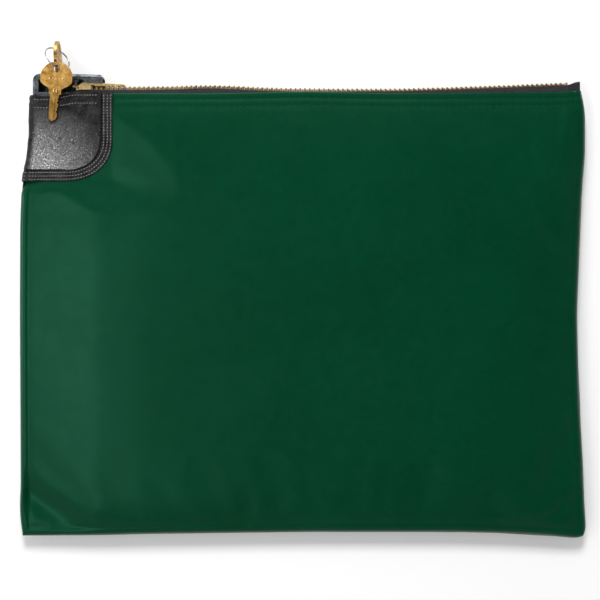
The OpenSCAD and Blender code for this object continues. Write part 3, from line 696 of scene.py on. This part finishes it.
def border_depth(x, y):
    """Distance inside the patch's sewn border."""
    over = np.maximum(0, x - (PATCH_RIGHT - CORNER_W)) / CORNER_W
    under = np.maximum(0, PATCH_BOTTOM + CORNER_TALL - y) / CORNER_TALL
    straight = np.minimum(PATCH_RIGHT - x, y - PATCH_BOTTOM)
    radius = (over ** 2.2 + under ** 2.2) ** (1 / 2.2)
    mean_r = np.sqrt(CORNER_W * CORNER_TALL)
    return np.where((over > 0) & (under > 0), np.minimum((1 - radius) * mean_r, straight + 20), straight)


def leather_relief(x, y):
    """Height of the leather's outer face over its flat plane."""
    d = border_depth(x, y)
    top = patch_roof(x) - y
    groove = lambda at, where, deep, wide: -deep * np.exp(-((at - where) / wide) ** 2)
    h = groove(d, 2.3, 0.15, 0.4) + groove(d, BORDER_W, 0.75, 0.6) + groove(top, 3.5, 0.45, 0.5)
    for row in BORDER_ROWS:
        h = h + groove(d, row, 0.2, 0.6)
    for row in TOP_ROWS:
        h = h + groove(top, row, 0.2, 0.6)
    inner = smooth((d - 7) / 5) * smooth((top - 4) / 3)
    # the case shows through as a faint plateau with a soft edge
    h = h + inner * 0.25 * np.exp(-((x - (case_high[0] - 7.5)) / 1.3) ** 2) * smooth((y - 102) / 6)
    h = h - inner * 0.4 * (1 - smooth((y - case_low[1] + 6) / 8))
    ripple = np.sin(x * 0.31 + y * 0.17) * np.sin(y * 0.29 - x * 0.11) + 0.6 * np.sin(x * 0.73 - y * 0.52 + 1.3)
    creases = np.abs(np.sin(x * 0.42 + y * 0.26 + 1.5 * np.sin(y * 0.11))) ** 0.5
    h = h + inner * (0.12 * ripple + 0.16 * (creases - 0.7))
    return h - 0.35 * (1 - swell(np.maximum(d, 0) / 0.5)) - 0.3 * (1 - swell(np.maximum(top, 0) / 0.5))


def make_leather():
    """The patch, from its front edge round the bag's left side to its back edge."""
    patch_w = PATCH_RIGHT - leather_low[0] - FOLD_R
    half = leather_high[2] - MID_Z
    near = np.cumsum([0, 0.2, 0.3, 0.4, 0.5, 0.6, 0.7, 0.7, 0.7, 0.8, 0.8, 0.8]) / patch_w
    across = np.concatenate([near, np.linspace(near[-1], 1, 60)[1:]])
    turns = np.linspace(0, math.pi / 2, 9)[1:]
    columns = [("face", f) for f in across] + [("fold", a) for a in turns]
    near = np.cumsum([0, 0.2, 0.3, 0.4, 0.5, 0.6, 0.7, 0.7, 0.7, 0.8, 0.8, 0.8]) / 57.0
    up = np.concatenate([near, np.linspace(near[-1], 1 - near[-1], 56)[1:-1], (1 - near)[::-1]])
    front_side = []
    for kind, value in columns:
        turn = value if kind == "fold" else 0.0
        x_low = PATCH_RIGHT + (value if kind == "face" else 1.0) * (leather_left(PATCH_BOTTOM) + FOLD_R - PATCH_RIGHT)
        floor_y = float(patch_floor(x_low)) if kind == "face" else PATCH_BOTTOM
        y = floor_y + up * (float(patch_roof(x_low)) - floor_y)
        corner = leather_left(y) + FOLD_R
        x = PATCH_RIGHT + value * (corner - PATCH_RIGHT) if kind == "face" else corner
        relief = leather_relief(x, y)
        # the fold's face turns from level to upright
        x = x - (FOLD_R + relief) * math.sin(turn)
        z = half - FOLD_R - sunk(x, y) + (FOLD_R + relief) * math.cos(turn)
        front_side.append(np.stack([x, y, z], -1))
    back_side = [column * [1, 1, -1] for column in front_side[::-1]]
    flank = [front_side[-1] * [1, 1, share] for share in (0.62, 0.3, 0, -0.3, -0.62)]
    grid = np.stack(front_side + flank + back_side, 1) + [0, 0, MID_Z]
    obj = grid_object("leather_corner_patch", grid, flip=True)
    modifier(obj, "SOLIDIFY", thickness=LEATHER_T * MM, offset=-1.0)
    modifier(obj, "SUBSURF", levels=1, render_levels=1)
    finish_piece(obj, "bag", MATERIALS["leather"], ["leather_corner"])
    # depths for the leather's painted sheen and groove shade, as shares of 30 mm
    x, y = grid[..., 0].ravel(), grid[..., 1].ravel()
    for label, values in (("sewn_depth", border_depth(x, y)), ("left_depth", x - leather_left(y))):
        made = obj.data.attributes.new(label, "FLOAT", "POINT")
        made.data.foreach_set("value", clamp(values / 30))
    return obj


leather = make_leather()


# ---- stitching ----
def surface_of(obj):
    graph = bpy.context.evaluated_depsgraph_get()
    return BVHTree.FromObject(obj, graph)


def dropped(surface, route, side):
    """A plan route laid on a surface from outside: points and normals in millimetres."""
    points, normals = [], []
    for x, y in route:
        start = Vector((x * MM, y * MM, MID_Z * MM + side * 0.05))
        hit, normal, _, _ = surface.ray_cast(start, Vector((0, 0, -side)))
        if hit is not None:
            points.append(np.array(hit) / MM)
            normals.append(np.array(normal))
    return points, normals


def stitch_row(points, normals, pitch, length, radius, sink):
    """Vertices and faces of thread segments along a route, each dipping into the surface at its ends."""
    points, normals = np.array(points), np.array(normals)
    run = np.concatenate([[0], np.cumsum(np.linalg.norm(np.diff(points, axis=0), axis=1))])
    at = lambda values, where: np.stack([np.interp(where, run, values[:, k]) for k in range(3)], -1)
    vertices, faces = [], []
    sides = 6
    shares = np.linspace(-1, 1, 7)
    for middle in np.arange(pitch / 2, run[-1] - pitch / 2, pitch):
        where = middle + shares * length / 2
        spine = at(points, where)
        up = at(normals, where)
        up /= np.linalg.norm(up, axis=1, keepdims=True)
        ahead = np.gradient(spine, axis=0)
        ahead /= np.linalg.norm(ahead, axis=1, keepdims=True)
        aside = np.cross(ahead, up)
        bulge = np.sqrt(1 - shares ** 2 * 0.96)
        spine = spine + up * (radius * (0.55 * bulge - sink))[:, None]
        base = len(vertices)
        for k in range(len(shares)):
            for n in range(sides):
                turn = 2 * math.pi * n / sides
                offset = math.cos(turn) * aside[k] + math.sin(turn) * up[k] * 0.8
                vertices.append(spine[k] + offset * radius * max(0.25, bulge[k]))
        rings = len(shares)
        faces += [[base + v for v in face] for face in grid_faces(rings, sides, wrap=True)]
        faces.append([base + n for n in range(sides)][::-1])
        faces.append([base + (rings - 1) * sides + n for n in range(sides)])
    return vertices, faces


def stitching(name, rows, material):
    """One piece of all the given rows: (points, normals, pitch, length, radius, sink)."""
    vertices, faces = [], []
    for row in rows:
        more, quads = stitch_row(*row)
        faces += [[v + len(vertices) for v in face] for face in quads]
        vertices += more
    obj = new_object(name, vertices, faces)
    return finish_piece(obj, "bag", material)


def mouth_rows(surface, side):
    xs = np.arange(PATCH_RIGHT + 2.0, right_x(138) - 4.0, 1.0)
    rows = []
    for row in STITCH_ROWS:
        route = [(x, mouth_y(x) - row) for x in xs]
        rows.append((*dropped(surface, route, side), 4.4, 2.4, 0.22, 0.45))
    return rows


def border_route(inset):
    """Round the patch's sewn border in plan, from the top down the right side to the left fold."""
    centre_x, centre_y = PATCH_RIGHT - CORNER_W, PATCH_BOTTOM + CORNER_TALL
    route = [(PATCH_RIGHT - inset, y) for y in np.arange(PATCH_TOP - 1.2, centre_y, -0.8)]
    for turn in np.linspace(0, math.pi / 2, 60):
        across, down = math.cos(turn) ** (2 / 2.2), math.sin(turn) ** (2 / 2.2)
        route.append((centre_x + (CORNER_W - inset) * across, centre_y - (CORNER_TALL - inset) * down))
    y = PATCH_BOTTOM + inset
    route += [(x, y) for x in np.arange(centre_x - 0.8, leather_left(y) + FOLD_R, -0.8)]
    return route


def flank_route(y):
    """Round the left fold at one height, front to back: points and normals."""
    points, normals = [], []
    corner = leather_left(y) + FOLD_R
    straight = leather_high[2] - MID_Z - FOLD_R - float(sunk(leather_left(y), y))
    for turn in np.linspace(0.1, math.pi - 0.1, 40):
        up, out = math.cos(turn), math.sin(turn)
        level = straight * np.sign(up) if abs(up) > 0.35 else straight * up / 0.35
        relief = float(leather_relief(corner, y))
        points.append(np.array([corner - (FOLD_R + relief) * out, y, MID_Z + level + (FOLD_R + relief) * up]))
        normals.append(np.array([-out, 0, up]))
    return points, normals


def make_stitching():
    cloth_rows = mouth_rows(surface_of(front), 1) + mouth_rows(surface_of(back), -1)
    stitching("mouth_stitching", cloth_rows, MATERIALS["green_thread"])
    hide = surface_of(leather)
    rows = []
    for side in (1, -1):
        for inset in BORDER_ROWS:
            rows.append((*dropped(hide, border_route(inset), side), 1.9, 0.95, 0.3, 0.0))
        for inset in TOP_ROWS:
            xs = np.arange(leather_left(140) + FOLD_R, PATCH_RIGHT - 7.5, 0.8)
            route = [(x, float(patch_roof(x)) - inset) for x in xs]
            rows.append((*dropped(hide, route, side), 1.9, 0.95, 0.3, 0.0))
    for inset in BORDER_ROWS:
        rows.append((*flank_route(PATCH_BOTTOM + inset), 1.9, 0.95, 0.3, 0.0))
    stitching("leather_stitching", rows, MATERIALS["pale_thread"])


make_stitching()


# ---- zipper ----
CHAIN_TOP = teeth_high[1]
CHAIN_BOTTOM = teeth_low[1]
TOOTH_COUNT = 101
TOOTH_W = 1.35
TAPE_FOOT = 17.0
LEG_IN, LEG_OUT, LIP_IN = 3.2, 3.6, 1.9
LIP_Y = CHAIN_BOTTOM - 0.1
LIP_T = 0.5


def make_tape(name, side, node):
    """Half of the tape: a woven strip whose beaded edge turns in to hold the teeth."""
    foot = MOUTH_Y - TAPE_FOOT
    low_y = LIP_Y - 0.5
    section = [(LEG_IN, foot), (LEG_OUT, foot), (LEG_OUT, foot + 8), (LEG_OUT, low_y), (LEG_OUT, LIP_Y),
               (LEG_OUT - 0.12, LIP_Y + LIP_T - 0.1), (LEG_OUT - 0.4, LIP_Y + LIP_T), (LIP_IN + 0.2, LIP_Y + LIP_T),
               (LIP_IN, LIP_Y + LIP_T / 2), (LIP_IN + 0.2, LIP_Y), (LEG_IN, LIP_Y), (LEG_IN, low_y),
               (LEG_IN, foot + 8)]
    hood_exit = case_high[0] + 0.5
    xs = np.concatenate([np.arange(tape_low[0], hood_exit, 1.5), np.arange(hood_exit, 181.0, 1.5)])
    rings = []
    for x in xs:
        fold_in = smooth((x - stop_high[0]) / 6) * 1.6
        ring = []
        for out, y in section:
            if x < hood_exit:
                y = max(y, MOUTH_Y)
            share = smooth((y - foot) / (LIP_Y - foot))
            ring.append((x, y + tape_rise(x) * share,
                         MID_Z + side * (out - fold_in) + mouth_lean(x) * smooth((y - 70) / 72)))
        rings.append(ring)
    grid = np.array(rings)
    count = len(section)
    faces = grid_faces(len(xs), count, wrap=True, flip=side > 0)
    caps = [list(range(count)), [(len(xs) - 1) * count + k for k in range(count)][::-1]]
    faces += caps if side > 0 else [cap[::-1] for cap in caps]
    obj = new_object(name, grid.reshape(-1, 3), faces)
    return finish_piece(obj, "bag", MATERIALS["zipper_tape"], [node])


def crimp(bm, x, side, stations):
    """A pressed brass part across the tape, lofted through (distance out, half thickness, half width)."""
    middle = (CHAIN_TOP + CHAIN_BOTTOM) / 2
    corner = 0.22
    slope = (chain_wave(x + 1) - chain_wave(x - 1)) / 2
    rings = []
    for out, tall, wide in stations:
        ring = []
        for a, b in ((1, 1 - corner), (1 - corner, 1), (corner - 1, 1), (-1, 1 - corner), (-1, corner - 1),
                     (corner - 1, -1), (1 - corner, -1), (1, corner - 1)):
            dx, dy = a * wide, b * tall
            ring.append(bm.verts.new(Vector((x + dx - slope * dy, middle + chain_wave(x) + dy + slope * dx,
                                             MID_Z + mouth_lean(x) + side * out)) * MM))
        rings.append(ring)
    order = 1 if side > 0 else -1
    for a, b in zip(rings, rings[1:]):
        for k in range(8):
            n = (k + 1) % 8
            bm.faces.new([a[k], a[n], b[n], b[k]][::order])
    bm.faces.new(rings[0][::-order])
    bm.faces.new(rings[-1][::order])


def crimped_piece(name, bm, material, node):
    mesh = bpy.data.meshes.new(name)
    bm.to_mesh(mesh)
    bm.free()
    obj = bpy.data.objects.new(name, mesh)
    bpy.context.scene.collection.objects.link(obj)
    modifier(obj, "BEVEL", width=0.09 * MM, segments=2, limit_method="ANGLE", angle_limit=math.radians(35))
    return finish_piece(obj, "bag", MATERIALS[material], [node])


def make_teeth(name, side, offset, node):
    """Teeth with jaws clamped on the tape's edge and a tapered head with a rounded nose."""
    half_w, half_t = TOOTH_W / 2, (CHAIN_TOP - CHAIN_BOTTOM) / 2
    stations = [(3.2, half_t * 0.8, half_w * 0.8), (3.0, half_t, half_w), (1.2, half_t, half_w),
                (0.6, half_t * 0.86, half_w), (-0.45, half_t * 0.7, half_w * 0.95), (-0.8, half_t * 0.45, half_w * 0.7)]
    pitch = (teeth_high[0] - teeth_low[0] - TOOTH_W) / (TOOTH_COUNT - 1)
    bm = bmesh.new()
    for k in range(TOOTH_COUNT):
        crimp(bm, teeth_low[0] + offset + TOOTH_W / 2 + k * pitch, side, stations)
    return crimped_piece(name, bm, "teeth_brass", node)


def make_end_stop():
    """A staple closed over both halves of the tape, pinched in the middle."""
    half_w, half_t = (stop_high[0] - stop_low[0]) / 2 + 0.1, (stop_high[1] - stop_low[1]) / 2 + 0.1
    stations = [(out, half_t * tall, half_w * wide) for out, tall, wide in (
        (3.15, 0.8, 0.8), (2.9, 1, 1), (0.9, 1, 1), (0.3, 0.86, 0.92), (-0.3, 0.86, 0.92), (-0.9, 1, 1), (-2.9, 1, 1),
        (-3.15, 0.8, 0.8))]
    bm = bmesh.new()
    crimp(bm, (stop_low[0] + stop_high[0]) / 2, 1, stations)
    return crimped_piece("closing_stop", bm, "zipper_brass", "zipper_end_stop")


tape_front = make_tape("front_zipper_tape", 1, "zipper_tape_front")
tape_back = make_tape("back_zipper_tape", -1, "zipper_tape_back")
make_teeth("front_teeth", 1, 0.0, "zipper_teeth_front")
make_end_stop()
make_teeth("back_teeth", -1, span("zipper_teeth_back")[0][0] - teeth_low[0], "zipper_teeth_back")


# ---- key ring: a bent wire whose ends meet ----
def make_ring():
    joint = next(m for m in frame["record"]["mounts"] if m["name"] == "ring_loop")
    centre = np.array(joint["pos_m"]) / MM
    normal = np.array(joint["axis"])
    normal /= np.linalg.norm(normal)
    across = np.cross(normal, [0, 0, 1])
    across /= np.linalg.norm(across)
    other = np.cross(normal, across)
    radius, wire, sides, count = 8.9, 0.45, 12, 120
    gap = 0.02
    vertices, faces = [], []
    for k in range(count + 1):
        turn = gap + (2 * math.pi - 2 * gap) * k / count + 1.9
        out = math.cos(turn) * across + math.sin(turn) * other
        thin = 0.8 if k in (0, count) else 1.0
        for n in range(sides):
            a = 2 * math.pi * n / sides
            vertices.append(centre + out * (radius + wire * thin * math.cos(a)) + normal * wire * thin * math.sin(a))
    faces = grid_faces(count + 1, sides, wrap=True)
    faces += [list(range(sides))[::-1], [count * sides + n for n in range(sides)]]
    obj = new_object("wire_key_ring", vertices, faces)
    finish_piece(obj, "ring", MATERIALS["ring_wire"], ["key_ring"])


make_ring()


# ---- marks on the keys: two raised bars on the neck, and a row of stamped dots across the bow ----
BOW_DOTS = 5
DOTS_AT = 6.6     # millimetres from the middle of the hole towards the tip
BARS_AT = 14.3


def key_marks(name, node, body, hole, along, out):
    """Marks on both faces of a key. hole is on its middle plane, along points to the tip, out is its face."""
    surface = surface_of(NODES[node])
    aside = np.cross(along, out)
    vertices, faces = [], []
    for side in (1, -1):
        paths = [[hole + along * (BARS_AT + u) + aside * a for u in np.linspace(-1.5, 1.5, 7)]
                 for a in (-0.95, 0.95)]
        paths += [[hole + along * (DOTS_AT + u) + aside * (k - (BOW_DOTS - 1) / 2) * 2.2 for u in (-0.8, 0, 0.8)]
                  for k in range(BOW_DOTS)]
        for path in paths:
            points, normals = [], []
            for place in path:
                hit, normal, _, _ = surface.ray_cast(Vector((place + out * side * 12) * MM), Vector(out * -side))
                if hit is not None:
                    points.append(np.array(hit) / MM)
                    normals.append(np.array(normal))
            if len(points) > 2:
                run = np.linalg.norm(points[-1] - points[0])
                more, quads = stitch_row(points, normals, run * 0.999, run * 0.98, 0.5, 0.25)
                faces += [[v + len(vertices) for v in face] for face in quads]
                vertices += more
    obj = new_object(name, vertices, faces)
    finish_piece(obj, body, MATERIALS["key_mark_brass"])


lock_key_low, lock_key_high = span("lock_key")
key_hole = np.array([(lock_key_low[0] + lock_key_high[0]) / 2, lock_key_high[1] - KEY_TOP_TO_HOLE, MID_Z])
key_marks("lock_key_marks", "lock_key", "key", key_hole, np.array([0.0, -1.0, 0.0]), np.array([1.0, 0.0, 0.0]))
turn = math.radians(SPARE_HEADING)
spare_way = np.array([math.sin(turn), -math.cos(turn), 0.0])
spare_low, spare_high = span("spare_key")
spare_hole = np.array([SPARE_HOLE_X, spare_high[1] - KEY_TOP_TO_HOLE, (spare_low[2] + spare_high[2]) / 2])
key_marks("spare_key_marks", "spare_key", "spare", spare_hole, spare_way, np.array([0.0, 0.0, 1.0]))


# ---- CAD nodes that stay: materials, and softened edges on the metal ----
def soften(node, width, angle=32):
    obj = NODES[node]
    modifier(obj, "WELD", merge_threshold=1e-6)
    modifier(obj, "DECIMATE", decimate_type="DISSOLVE", angle_limit=math.radians(0.8))
    modifier(obj, "BEVEL", width=width * MM, segments=2, limit_method="ANGLE", angle_limit=math.radians(angle),
             use_clamp_overlap=True)
    obj.data.polygons.foreach_set("use_smooth", [True] * len(obj.data.polygons))
    modifier(obj, "WEIGHTED_NORMAL", weight=80, keep_sharp=False)


SOFT_EDGES = {"lock_case": 0.55, "lock_cover": 0.2, "lock_barrel": 0.18, "bolt_arm": 0.15, "lock_plug": 0.06,
              "lock_key": 0.26, "spare_key": 0.26, "slider_body": 0.14, "slider_crown": 0.14, "pull_tab": 0.2,
              "zipper_top_stops": 0.12, "cover_screws": 0.08}
SLOTS = {row["node"]: row["material_slot"] for row in frame["record"]["subparts"] if "material_slot" in row}
for name, obj in NODES.items():
    if obj.hide_render:
        continue
    obj.data.materials.clear()
    obj.data.materials.append(MATERIALS[SLOTS[name]])
for name, width in SOFT_EDGES.items():
    soften(name, width)

make_stage()
